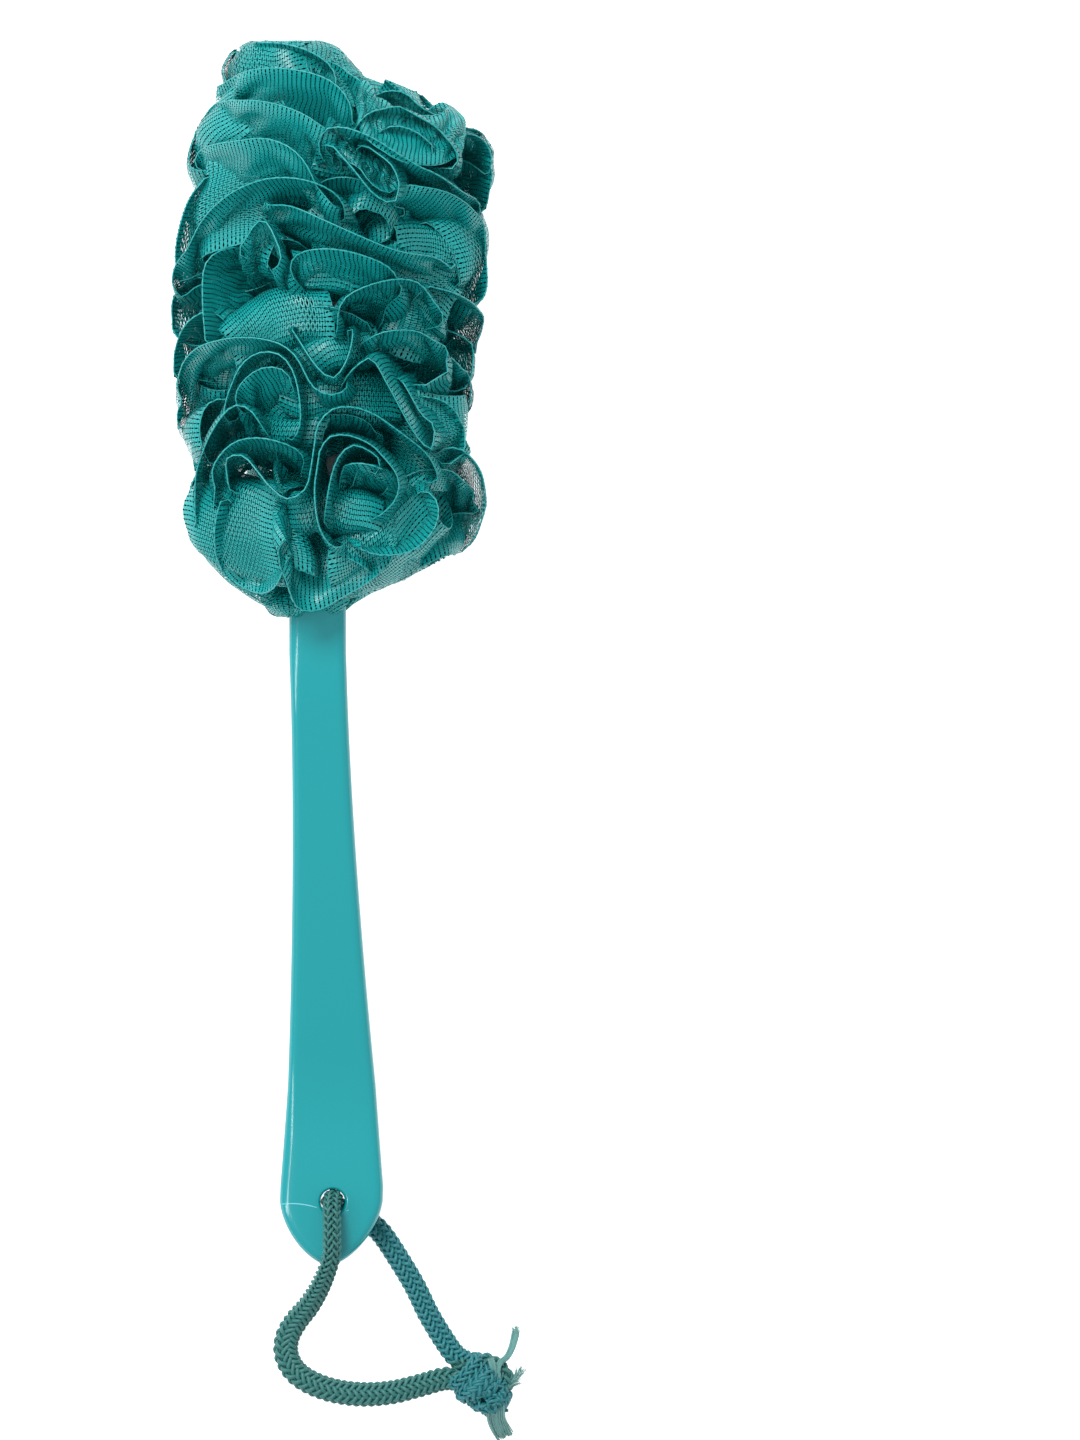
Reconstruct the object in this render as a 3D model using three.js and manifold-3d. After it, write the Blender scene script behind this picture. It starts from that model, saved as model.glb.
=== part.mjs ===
// A loofah back scrubber lying on its back: a one-piece plastic handle with a stem through four
// gathered lengths of tube netting, a tie cord round each, and a hanging cord knotted through the tail.
// Millimetres. +X is across the handle, +Y runs along it towards the netting, +Z is up from the surface
// that it lies on. The origin is under the middle of the object, its cord left out.
import * as THREE from "three";
import { mergeVertices } from "three/addons/utils/BufferGeometryUtils.js";
import Module from "manifold-3d";

const wasm = await Module();
wasm.setup();

// ---------------------------------------------------------------- driving dimensions
const OVERALL_LENGTH = 366.3;
const TAIL_TIP_Y = -OVERALL_LENGTH / 2;
const NET_END_Y = OVERALL_LENGTH / 2;

const TAIL = { width: 31, thickness: 6.5, tipLength: 18.9, underside: 9, roundness: 1.6 };
const NECK = { width: 17.1, thickness: 9, x: -4.1 };
// The grip widens from the neck towards the tail, slowly at first.
const TAPER = { startY: -10, endY: -160.25, power: 1.75, straightFromY: -130 };
const STEM = { width: 12, thickness: 8, height: 42, startY: 26, endY: 174 };
const NECK_END_Y = 12;
const EDGE_RADIUS = 2.7;

// Side profile of the handle: a level tail, an upward bend, a straight slope, and a bend back to level.
const SLOPE_ANGLE = THREE.MathUtils.degToRad(13);
const BEND_RADIUS = 120;
const TAIL_LEVEL_Y = -148;

const HOLE = { x: 0.3, y: -164.8, radius: 3.7, chamfer: 0.9 };

const NET_FLOWERS = [
  { name: "bottom", x: 0.3, halfWidth: 47.5, from: 10.35, to: 57, corner: 20 },
  { name: "lower", x: -2.4, halfWidth: 45, from: 57.6, to: 99, corner: 13 },
  { name: "upper", x: 0, halfWidth: 48.45, from: 99.6, to: 141, corner: 13 },
  { name: "top", x: 0.6, halfWidth: 41.5, from: 141.6, to: NET_END_Y, corner: 18 },
];
const PUFF_FLATTENING = STEM.height / 48.45;
const TIE = { cordRadius: 1.2, grooveHalfLength: 2, grooveDepth: 1.5, rampLength: 1.2 };
const CLEARANCE = 0.4;

const CORD_RADIUS = 2.6;
const CORD_SIDES = 10;

// Centre line of the hanging cord: out of the hole over the tail's tip, round on the surface to the
// knot, and from the knot back under the tail and up into the hole.
const FRONT_LEG = [
  [0.3, -164.1, 13.0],
  [0.3, -164.5, 14.2],
  [0.28, -165.2, 15.8],
  [0.15, -167.2, 18.5],
  [0.1, -170.6, 20.9],
  [0.4, -175.7, 22.0],
  [0.1, -181.0, 20.9],
  [-1.6, -185.8, 17.9],
  [-4.2, -190.9, 12.7],
  [-7.4, -195.7, 7.4],
  [-10.6, -200.4, 3.9],
  [-13.1, -205.4, 2.7],
  [-13.7, -210.6, 2.7],
  [-11.4, -215.4, 2.7],
  [-6.8, -218.8, 2.7],
  [0.5, -221.2, 2.7],
  [9.0, -222.4, 2.7],
  [18.0, -221.9, 2.8],
  [26.5, -220.2, 3.4],
  [34.8, -218.1, 4.8],
];
const BACK_LEG = [
  [37.6, -212.4, 4.6],
  [33.2, -206.2, 3.1],
  [28.9, -198.5, 2.7],
  [24.9, -190.3, 2.7],
  [19.6, -181.4, 2.7],
  [15.0, -174.6, 2.7],
  [9.75, -170.2, 2.7],
  [5.35, -167.7, 3.8],
  [2.4, -166.0, 6.2],
  [0.8, -165.05, 8.6],
  [0.1, -164.67, 10.2],
  [-0.25, -164.46, 11.4],
];
const KNOT = { at: [45.2, -220.7, 7.2], halfLength: 9.4, halfWidth: 7.6, halfHeight: 7 };
const LOWER_END = [
  [49.9, -227.2, 5.2],
  [51.2, -230.2, 3.6],
  [53.4, -235.4, 2.6],
];
const LOWER_END_RADIUS = 2.4;
const UPPER_END = [
  [49.5, -216.5, 7.4],
  [51.9, -213.1, 7.4],
  [53.8, -210.2, 6.2],
  [55.4, -206.3, 3.6],
  [54.9, -202.4, 1.4],
];
const UPPER_END_RADIUS = 0.9;

// ---------------------------------------------------------------- shared helpers
const colours = { handle: 0x2aa3ad, net: 0x1f8783, tie: 0x1c7470, cord: 0x457f7b };

function solidOf(geometry) {
  const bare = geometry.clone();
  bare.deleteAttribute("normal");
  bare.deleteAttribute("uv");
  const merged = mergeVertices(bare, 1e-4);
  return new wasm.Manifold(
    new wasm.Mesh({
      numProp: 3,
      vertProperties: new Float32Array(merged.attributes.position.array),
      triVerts: new Uint32Array(merged.index.array),
    }),
  );
}

function geometryOf(solid) {
  const mesh = solid.getMesh();
  const geometry = new THREE.BufferGeometry();
  geometry.setAttribute("position", new THREE.BufferAttribute(new Float32Array(mesh.vertProperties), 3));
  geometry.setIndex(new THREE.BufferAttribute(new Uint32Array(mesh.triVerts), 1));
  geometry.computeVertexNormals();
  return geometry;
}

function named(name, geometry, colour, roughness) {
  const material = new THREE.MeshStandardMaterial({ color: colour, roughness, metalness: 0 });
  const mesh = new THREE.Mesh(geometry, material);
  mesh.name = name;
  return mesh;
}

function evenly(from, to, count) {
  return Array.from({ length: count + 1 }, (_, i) => from + ((to - from) * i) / count);
}

const mix = THREE.MathUtils.lerp;
const share = (value, from, to) => THREE.MathUtils.clamp((value - from) / (to - from), 0, 1);

// ---------------------------------------------------------------- handle
const tailHeight = TAIL.underside + TAIL.thickness / 2;
const bendRun = BEND_RADIUS * Math.sin(SLOPE_ANGLE);
const bendRise = BEND_RADIUS * (1 - Math.cos(SLOPE_ANGLE));
const slopeStartY = TAIL_LEVEL_Y + bendRun;
const slopeRun = (STEM.height - tailHeight - 2 * bendRise) / Math.tan(SLOPE_ANGLE);
const slopeEndY = slopeStartY + slopeRun;
const stemLevelY = slopeEndY + bendRun;

// Height of the handle's middle layer above the surface.
function spineHeight(y) {
  if (y <= TAIL_LEVEL_Y) return tailHeight;
  if (y >= stemLevelY) return STEM.height;
  if (y < slopeStartY) return tailHeight + BEND_RADIUS - Math.sqrt(BEND_RADIUS ** 2 - (y - TAIL_LEVEL_Y) ** 2);
  if (y > slopeEndY) return STEM.height - BEND_RADIUS + Math.sqrt(BEND_RADIUS ** 2 - (stemLevelY - y) ** 2);
  return tailHeight + bendRise + (y - slopeStartY) * Math.tan(SLOPE_ANGLE);
}

const tieYs = NET_FLOWERS.map((flower) => (flower.from + flower.to) / 2);

// How deep the stem is cut at this place for the tie cord that sits there, from 0 to 1.
function grooveAt(y) {
  const distance = Math.min(...tieYs.map((tieY) => Math.abs(y - tieY)));
  return 1 - share(distance, TIE.grooveHalfLength, TIE.grooveHalfLength + TIE.rampLength);
}

// Centre, width and thickness of the handle's rounded oblong section at a place along it.
function handleSection(y) {
  const tailWideY = TAIL_TIP_Y + TAIL.tipLength;
  const section = { y, x: NECK.x * share(y, TAPER.straightFromY, 0), z: spineHeight(y) };
  section.width = mix(NECK.width, TAIL.width, share(y, TAPER.startY, TAPER.endY) ** TAPER.power);
  section.thickness = mix(TAIL.thickness, NECK.thickness, share(y, slopeStartY, slopeEndY));
  if (y < tailWideY) {
    const reach = share(y, tailWideY, TAIL_TIP_Y);
    section.width *= Math.max(0.12, (1 - reach ** TAIL.roundness) ** (1 / TAIL.roundness));
    section.x -= 0.8 * reach;
  }
  if (y > NECK_END_Y) {
    const narrowing = share(y, NECK_END_Y, STEM.startY);
    section.width = mix(NECK.width, STEM.width, narrowing) - 2 * TIE.grooveDepth * grooveAt(y);
    section.thickness = mix(NECK.thickness, STEM.thickness, narrowing) - 2 * TIE.grooveDepth * grooveAt(y);
    section.x = NECK.x * (1 - share(y, NECK_END_Y, tieYs[0] - 6));
  }
  return section;
}

// One ring of points round a rounded oblong that stands across the handle.
function ringOf({ x, y, z, width, thickness }, grow) {
  const halfWidth = width / 2 + grow;
  const halfThickness = thickness / 2 + grow;
  const radius = Math.min(EDGE_RADIUS, 0.8 * halfWidth, 0.8 * halfThickness);
  const cornerSteps = 4;
  const ring = [];
  for (const [sideX, sideZ, start] of [[1, 1, 0], [-1, 1, 90], [-1, -1, 180], [1, -1, 270]]) {
    for (let i = 0; i <= cornerSteps; i++) {
      const angle = THREE.MathUtils.degToRad(start + (90 * i) / cornerSteps);
      ring.push([
        x + sideX * (halfWidth - radius) + radius * Math.cos(angle),
        y,
        z + sideZ * (halfThickness - radius) + radius * Math.sin(angle),
      ]);
    }
  }
  return ring;
}

// A closed solid through a row of rings that have equal numbers of points.
function loft(rings) {
  const size = rings[0].length;
  const points = rings.flat();
  const faces = [];
  for (let i = 0; i + 1 < rings.length; i++) {
    for (let j = 0; j < size; j++) {
      const next = (j + 1) % size;
      const [a, b] = [i * size + j, i * size + next];
      faces.push(a, a + size, b, b, a + size, b + size);
    }
  }
  const lastRing = (rings.length - 1) * size;
  for (let j = 1; j + 1 < size; j++) {
    faces.push(0, j, j + 1);
    faces.push(lastRing, lastRing + j + 1, lastRing + j);
  }
  const geometry = new THREE.BufferGeometry();
  geometry.setAttribute("position", new THREE.Float32BufferAttribute(points.flat(), 3));
  geometry.setIndex(faces);
  return geometry;
}

function handleLoft(grow) {
  const tailWideY = TAIL_TIP_Y + TAIL.tipLength;
  const tip = evenly(0, 1, 8).map((t) => tailWideY - TAIL.tipLength * Math.sin((t * Math.PI) / 2));
  const grooves = tieYs.flatMap((tieY) => {
    const flat = TIE.grooveHalfLength;
    const edge = flat + TIE.rampLength;
    return [tieY - edge, tieY - flat, tieY + flat, tieY + edge];
  });
  const stations = [
    ...tip.reverse(),
    tailWideY + 4,
    ...evenly(TAIL_LEVEL_Y, slopeStartY, 5),
    ...evenly(slopeStartY + 12, slopeEndY - 12, 6),
    ...evenly(slopeEndY, stemLevelY, 5),
    NECK_END_Y,
    STEM.startY,
    ...grooves,
    STEM.endY,
  ];
  const rings = [...new Set(stations)].sort((a, b) => a - b).map((y) => ringOf(handleSection(y), grow));
  const end = handleSection(STEM.endY);
  rings.push(ringOf({ ...end, y: STEM.endY + 2, width: end.width - 4, thickness: end.thickness - 4 }, grow));
  return loft(rings);
}

// A turned cutter for the cord hole, wider at both mouths.
function holeCutter() {
  const { radius, chamfer } = HOLE;
  const half = TAIL.thickness / 2;
  const profile = [
    [0, -half - chamfer],
    [radius + 2 * chamfer, -half - chamfer],
    [radius, -half + chamfer],
    [radius, half - chamfer],
    [radius + 2 * chamfer, half + chamfer],
    [0, half + chamfer],
  ].map(([r, h]) => new THREE.Vector2(r, h));
  const cutter = new THREE.LatheGeometry(profile, 32);
  return cutter.rotateX(Math.PI / 2).translate(HOLE.x, HOLE.y, tailHeight);
}

function handle() {
  const solid = solidOf(handleLoft(0)).subtract(solidOf(holeCutter()));
  return named("handle", geometryOf(solid), colours.handle, 0.3);
}

// ---------------------------------------------------------------- netting
// Outer shape of one flower: a fat disc round the stem, with rounded shoulders.
function netFlower({ name, x, halfWidth, from, to, corner }, tieY) {
  const cornerSteps = 5;
  const halfLength = (to - from) / 2;
  const profile = [new THREE.Vector2(0, -halfLength)];
  for (const side of [-1, 1]) {
    for (let i = 0; i <= cornerSteps; i++) {
      const angle = ((side < 0 ? -90 : 0) + (90 * i) / cornerSteps) * THREE.MathUtils.DEG2RAD;
      profile.push(
        new THREE.Vector2(
          halfWidth - corner + corner * Math.cos(angle),
          side * (halfLength - corner) + corner * Math.sin(angle),
        ),
      );
    }
  }
  profile.push(new THREE.Vector2(0, halfLength));
  const outer = new THREE.LatheGeometry(profile, 32);
  outer.rotateY(Math.PI / 32);
  outer.scale(1 / Math.cos(Math.PI / 32), 1, PUFF_FLATTENING / Math.cos(Math.PI / 32));
  outer.translate(x, (from + to) / 2, STEM.height);

  const tieRoom = new THREE.CylinderGeometry(9.5, 9.5, 5, 24);
  tieRoom.scale(1, 1, 0.8).translate(0, tieY, STEM.height);
  const solid = solidOf(outer).subtract(solidOf(handleLoft(CLEARANCE))).subtract(solidOf(tieRoom));
  return named("net_length_" + name, geometryOf(solid), colours.net, 0.7);
}

// The cord that binds a length of netting to the stem, in the stem's groove.
function tieCord(name, tieY) {
  const reach = TIE.cordRadius + CLEARANCE - TIE.grooveDepth;
  const acrossX = STEM.width / 2 + reach;
  const acrossZ = STEM.thickness / 2 + reach;
  const corner = Math.min(EDGE_RADIUS, STEM.thickness / 2 - TIE.grooveDepth) + TIE.cordRadius;
  const outline = [];
  for (const [sideX, sideZ, start] of [[1, 1, 0], [-1, 1, 90], [-1, -1, 180], [1, -1, 270]]) {
    for (const turn of [0, 45, 90]) {
      const angle = THREE.MathUtils.degToRad(start + turn);
      outline.push(
        new THREE.Vector3(
          sideX * (acrossX - corner) + corner * Math.cos(angle),
          0,
          sideZ * (acrossZ - corner) + corner * Math.sin(angle),
        ),
      );
    }
  }
  const route = new THREE.CatmullRomCurve3(outline, true);
  const ring = new THREE.TubeGeometry(route, 28, TIE.cordRadius, 8, true);
  ring.translate(0, tieY, STEM.height);
  return named("tie_cord_" + name, ring, colours.tie, 0.6);
}

// ---------------------------------------------------------------- hanging cord
function tube(points, radius, sides, steps) {
  const route = new THREE.CatmullRomCurve3(points.map((point) => new THREE.Vector3(...point)));
  const section = new THREE.Shape();
  for (let i = 0; i < sides; i++) {
    const angle = (2 * Math.PI * i) / sides;
    const corner = [radius * Math.cos(angle), radius * Math.sin(angle)];
    if (i === 0) section.moveTo(...corner);
    else section.lineTo(...corner);
  }
  section.closePath();
  return new THREE.ExtrudeGeometry(section, { extrudePath: route, steps, bevelEnabled: false });
}

// Outer shape of the knot, grown by the gap that its neighbours keep.
function knotLump(grow) {
  const lump = new THREE.IcosahedronGeometry(1, 3);
  lump.scale(KNOT.halfLength + grow, KNOT.halfWidth + grow, KNOT.halfHeight + grow);
  return lump.rotateZ(-Math.PI / 4).translate(...KNOT.at);
}

// A stretch of the cord, cut off where it meets the knot.
function stretch(name, points, radius, sides, steps) {
  const solid = solidOf(tube(points, radius, sides, steps)).subtract(solidOf(knotLump(CLEARANCE)));
  return named(name, geometryOf(solid), colours.cord, 0.8);
}

function hangingCord() {
  const group = new THREE.Group();
  group.add(
    stretch("cord_front_leg", FRONT_LEG, CORD_RADIUS, CORD_SIDES, 46),
    stretch("cord_back_leg", BACK_LEG, CORD_RADIUS, CORD_SIDES, 30),
    named("cord_knot", knotLump(0), colours.cord, 0.8),
    stretch("cord_end_lower", LOWER_END, LOWER_END_RADIUS, 8, 5),
    stretch("cord_end_upper", UPPER_END, UPPER_END_RADIUS, 8, 8),
  );
  return group;
}

// ---------------------------------------------------------------- assembly
const scrubber = new THREE.Group();
scrubber.add(handle());
NET_FLOWERS.forEach((flower, i) => {
  scrubber.add(netFlower(flower, tieYs[i]));
  scrubber.add(tieCord(flower.name, tieYs[i]));
});
scrubber.add(hangingCord());

export default scrubber;
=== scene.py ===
"""The looks of the loofah back scrubber: a plastic handle, four gathered lengths of netting and a braided
hanging cord. Lengths are in millimetres until a mesh is made."""
import math
import bpy
import numpy as np
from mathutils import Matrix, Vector


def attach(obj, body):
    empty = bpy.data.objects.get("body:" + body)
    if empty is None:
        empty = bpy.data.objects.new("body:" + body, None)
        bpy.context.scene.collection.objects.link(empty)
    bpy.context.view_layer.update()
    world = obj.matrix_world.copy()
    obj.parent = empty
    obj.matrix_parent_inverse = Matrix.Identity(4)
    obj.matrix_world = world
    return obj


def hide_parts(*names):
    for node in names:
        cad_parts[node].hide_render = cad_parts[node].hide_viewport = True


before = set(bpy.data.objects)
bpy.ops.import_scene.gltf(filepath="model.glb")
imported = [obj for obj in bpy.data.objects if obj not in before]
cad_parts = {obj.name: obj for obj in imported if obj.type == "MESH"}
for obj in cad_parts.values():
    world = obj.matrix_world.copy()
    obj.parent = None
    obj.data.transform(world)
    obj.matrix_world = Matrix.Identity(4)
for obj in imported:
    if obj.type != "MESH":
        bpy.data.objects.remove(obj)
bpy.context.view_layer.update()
MM = 0.001
rng = np.random.default_rng(11)


# ---------------------------------------------------------------- small tools

def share(value, start, end):
    """How far value is from start to end, kept from 0 to 1."""
    return np.clip((value - start) / (end - start), 0, 1)


def ease(t):
    return t * t * (3 - 2 * t)


def ramp(value, start, end):
    """From 0 at start to 1 at end, gently at both."""
    return ease(share(value, start, end))


def unit(vectors):
    return vectors / (np.linalg.norm(vectors, axis=-1, keepdims=True) + 1e-12)


def basis(count, places):
    """Catmull-Rom weights: one row for each place (0 to count - 1), one column for each of count points."""
    rows = np.zeros((len(places), count))
    first = np.clip(np.floor(places).astype(int), 0, count - 2)
    t = places - first
    parts = (-t + 2 * t**2 - t**3, 2 - 5 * t**2 + 3 * t**3, t + 4 * t**2 - 3 * t**3, t**3 - t**2)
    for offset, part in zip((-1, 0, 1, 2), parts):
        np.add.at(rows, (np.arange(len(places)), np.clip(first + offset, 0, count - 1)), part / 2)
    return rows


def smooth_line(points, step):
    """Points about step apart along a smooth line through the given points."""
    points = np.array(points, float)
    dense = basis(len(points), np.linspace(0, len(points) - 1, len(points) * 24)) @ points
    along = np.r_[0, np.cumsum(np.linalg.norm(np.diff(dense, axis=0), axis=1))]
    places = np.linspace(0, along[-1], int(round(along[-1] / step)) + 1)
    return np.stack([np.interp(places, along, dense[:, axis]) for axis in range(3)], axis=1)


def line_length(points):
    return float(np.linalg.norm(np.diff(points, axis=0), axis=1).sum())


def frames(line, first_side):
    """Tangent, side and up at each point of a line, turning as little as they can."""
    tangent = unit(np.gradient(line, axis=0))
    side = np.zeros_like(line)
    side[0] = first_side
    for i in range(1, len(line)):
        turned = side[i - 1] - tangent[i] * (side[i - 1] @ tangent[i])
        side[i] = turned / np.linalg.norm(turned)
    return tangent, side, np.cross(tangent, side)


def show(name, data):
    """Puts a new object with the given mesh, lamp or camera in the scene."""
    thing = bpy.data.objects.new(name, data)
    bpy.context.scene.collection.objects.link(thing)
    return thing


class Parts:
    """Gathers points and faces for one mesh."""

    def __init__(self):
        self.points, self.faces, self.slots, self.count = [], [], [], 0

    def add(self, points, *face_lists, slot=0):
        points = np.asarray(points, float).reshape(-1, 3)
        self.points.append(points)
        for faces in face_lists:
            self.faces.append(np.asarray(faces, int) + self.count)
            self.slots.append(np.full(len(faces), slot))
        self.count += len(points)

    def build(self, name, *materials):
        points = np.concatenate(self.points) * MM
        sizes = np.concatenate([np.full(len(f), f.shape[1]) for f in self.faces])
        corners = np.concatenate([f.ravel() for f in self.faces])
        mesh = bpy.data.meshes.new(name)
        mesh.vertices.add(len(points))
        mesh.vertices.foreach_set("co", points.astype(np.float32).ravel())
        mesh.loops.add(len(corners))
        mesh.loops.foreach_set("vertex_index", corners.astype(np.int32))
        mesh.polygons.add(len(sizes))
        mesh.polygons.foreach_set("loop_start", np.r_[0, np.cumsum(sizes)[:-1]].astype(np.int32))
        mesh.polygons.foreach_set("use_smooth", np.full(len(sizes), True))
        for material in materials:
            mesh.materials.append(material)
        mesh.polygons.foreach_set("material_index", np.concatenate(self.slots).astype(np.int32))
        mesh.update(calc_edges=True)
        mesh.validate()
        return show(name, mesh)


def ring_faces(rings, sides):
    """Quads between rings of the same number of points, each ring closed."""
    start = (np.arange(rings - 1) * sides)[:, None]
    here = start + np.arange(sides)[None]
    following = start + (np.arange(sides)[None] + 1) % sides
    return np.stack([here, following, following + sides, here + sides], -1).reshape(-1, 4)


def add_rings(parts, points, slot=0):
    """A closed solid through rings of points, with one flat face over each end."""
    rings, sides = points.shape[:2]
    cap = np.arange(sides)[None]
    parts.add(points, ring_faces(rings, sides), cap[:, ::-1], cap + (rings - 1) * sides, slot=slot)


def add_tube(parts, line, side, up, half_width, half_height, sides=8, slot=0):
    """An oval tube along a line; half_width goes along side and half_height along up."""
    angle = np.linspace(0, 2 * np.pi, sides, endpoint=False)
    half_width = np.broadcast_to(half_width, len(line))[:, None, None]
    half_height = np.broadcast_to(half_height, len(line))[:, None, None]
    points = (line[:, None] + side[:, None] * half_width * np.cos(angle)[None, :, None]
              + up[:, None] * half_height * np.sin(angle)[None, :, None])
    add_rings(parts, points, slot)


def srgb(*values):
    """Linear colour from sRGB values of 0 to 255."""
    v = np.array(values) / 255
    return (*np.where(v <= 0.04045, v / 12.92, ((v + 0.055) / 1.055) ** 2.4), 1.0)


def plain_material(name, colour, roughness, **sockets):
    """A material of one colour; other sockets are given by name, with _ for a space."""
    material = bpy.data.materials.new(name)
    material.use_nodes = True
    shader = material.node_tree.nodes["Principled BSDF"]
    shader.inputs["Base Color"].default_value = colour
    shader.inputs["Roughness"].default_value = roughness
    for socket, value in sockets.items():
        shader.inputs[socket.replace("_", " ")].default_value = value
    material.diffuse_color = colour
    return material


PLASTIC = plain_material("handle_plastic", srgb(10, 142, 148), 0.15)
PALE_PLASTIC = plain_material("pale_plastic", srgb(120, 205, 212), 0.4)
# The netting's faint teal emission is a painted glow: it lifts the deep shade between the layers.
NET = plain_material("netting", srgb(14, 150, 149), 0.38,
                     Emission_Color=(0.0, 0.5, 0.52, 1), Emission_Strength=0.01)
NET_RIM = plain_material("netting_rim", srgb(30, 152, 152), 0.42)
TWINE = plain_material("tie_cord", srgb(30, 110, 110), 0.8)
BRAID = plain_material("braided_cord", srgb(42, 107, 103), 0.5)
BRAID_BLUE = plain_material("braided_cord_blue", srgb(24, 112, 118), 0.5)
# Painted shade: the braid's core and the knot's inner egg are dark to stand in for the shade between strands.
BRAID_PAINTED_SHADE = plain_material("braided_cord_core_painted_shade", srgb(2, 28, 30), 0.9)
FIBRE = plain_material("frayed_fibre", srgb(88, 146, 141), 0.7, Sheen_Weight=0.3)


# ---------------------------------------------------------------- handle

# The handle's length runs along y. Its tail is level, then it slopes up to the level stem inside the puff.
TAIL_TIP_Y, TAIL_WIDTH, TAIL_THICKNESS, TAIL_UNDERSIDE = -184.1, 31.0, 6.5, 9
TIP_LENGTH, TIP_ROUNDNESS = 19.8, 1.6
TAPER_START_Y, TAPER_END_Y, TAPER_POWER = -10, -160.25, 1.75
NECK_END_Y, NECK_WIDTH, NECK_THICKNESS = 12, 17.1, 9
# The grip's middle drifts from x = 0 at DRIFT_START_Y to NECK_MIDDLE_X at y = 0, and the tip's a little.
NECK_MIDDLE_X, DRIFT_START_Y, TIP_DRIFT = -4.1, -130, 0.8
STEM_WIDTH, STEM_THICKNESS, STEM_HEIGHT, STEM_START_Y, STEM_END_Y = 12, 8, 42, 26, 174
EDGE_RADIUS, EDGE_POINTS, FACE_POINTS = 2.7, 10, 6
SLOPE, BEND_RADIUS, TAIL_LEVEL_Y = math.radians(13), 120, -148
HOLE_X, HOLE_Y, HOLE_RADIUS, HOLE_ROUNDING, HOLE_SIDES = 0.3, -164.8, 3.7, 0.9, 72
TIP_RINGS, GRIP_RINGS, STEM_RINGS = 40, 130, 90
SHARP_ANGLE = math.radians(35)
TAIL_HEIGHT = TAIL_UNDERSIDE + TAIL_THICKNESS / 2

bend_rise, bend_run = BEND_RADIUS * (1 - math.cos(SLOPE)), BEND_RADIUS * math.sin(SLOPE)
slope_start_y = TAIL_LEVEL_Y + bend_run
slope_end_y = slope_start_y + (STEM_HEIGHT - TAIL_HEIGHT - 2 * bend_rise) / math.tan(SLOPE)


def spine(y):
    """Height and slope of the handle's middle line: level, up at SLOPE, level again."""
    if y <= TAIL_LEVEL_Y:
        return TAIL_HEIGHT, 0.0
    if y < slope_start_y:
        turn = math.asin((y - TAIL_LEVEL_Y) / BEND_RADIUS)
        return TAIL_HEIGHT + BEND_RADIUS * (1 - math.cos(turn)), turn
    if y <= slope_end_y:
        return TAIL_HEIGHT + bend_rise + (y - slope_start_y) * math.tan(SLOPE), SLOPE
    if y < slope_end_y + bend_run:
        turn = math.asin((slope_end_y + bend_run - y) / BEND_RADIUS)
        return STEM_HEIGHT - BEND_RADIUS * (1 - math.cos(turn)), turn
    return STEM_HEIGHT, 0.0


def handle_width(y):
    wide = NECK_WIDTH + (TAIL_WIDTH - NECK_WIDTH) * share(y, TAPER_START_Y, TAPER_END_Y) ** TAPER_POWER
    wide += (STEM_WIDTH - NECK_WIDTH) * ramp(y, NECK_END_Y, STEM_START_Y)
    reach = share(y, TAIL_TIP_Y + TIP_LENGTH, TAIL_TIP_Y)
    return wide * (1 - reach**TIP_ROUNDNESS) ** (1 / TIP_ROUNDNESS)


def handle_middle(y):
    middle = NECK_MIDDLE_X * share(y, DRIFT_START_Y, 0) - TIP_DRIFT * share(y, TAPER_END_Y, TAIL_TIP_Y)
    return middle * (1 - ramp(y, NECK_END_Y, STEM_START_Y))


def handle_thickness(y):
    thick = TAIL_THICKNESS + (NECK_THICKNESS - TAIL_THICKNESS) * share(y, slope_start_y, slope_end_y)
    return thick + (STEM_THICKNESS - NECK_THICKNESS) * ramp(y, NECK_END_Y, STEM_START_Y)


def edge_reach(y):
    """How far in from the outline the rounded edge goes, wider where the outline runs aslant."""
    slant = (handle_width(y + 0.01) - handle_width(y - 0.01)) / 0.04
    return EDGE_RADIUS * math.hypot(1, slant)


def face_height(x, y):
    """Height of the handle's front face."""
    height, slope = spine(y)
    inward = min(1.0, max(0.0, (handle_width(y) / 2 - abs(x - handle_middle(y))) / edge_reach(y)))
    flank = handle_thickness(y) / 2 - EDGE_RADIUS
    return height + (flank + EDGE_RADIUS * math.sqrt(1 - (1 - inward) ** 2)) / math.cos(slope)


def handle_ring(y):
    """The handle's outline across it at y: flat faces, straight flanks and rounded edges."""
    height, slope = spine(y)
    half, flank = handle_width(y) / 2, handle_thickness(y) / 2 - EDGE_RADIUS
    reach = edge_reach(y)
    last = math.acos(max(0.0, 1 - half / reach))
    turns = np.linspace(0, last, EDGE_POINTS)
    x = half - reach * (1 - np.cos(turns))
    z = flank + EDGE_RADIUS * np.sin(turns)
    flat = np.linspace(x[-1], 0, FACE_POINTS)[1:-1]
    x, z = np.r_[x, flat], np.r_[z, np.full(len(flat), z[-1])]
    quarter = np.stack([x, z], axis=1)
    top = np.r_[quarter, [[0, z[-1]]], quarter[::-1] * [-1, 1]]
    ring = np.r_[top, top[::-1] * [1, -1]]
    heights = height + ring[:, 1] / math.cos(slope)
    return np.stack([ring[:, 0] + handle_middle(y), np.full(len(ring), y), heights], axis=1)


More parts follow.
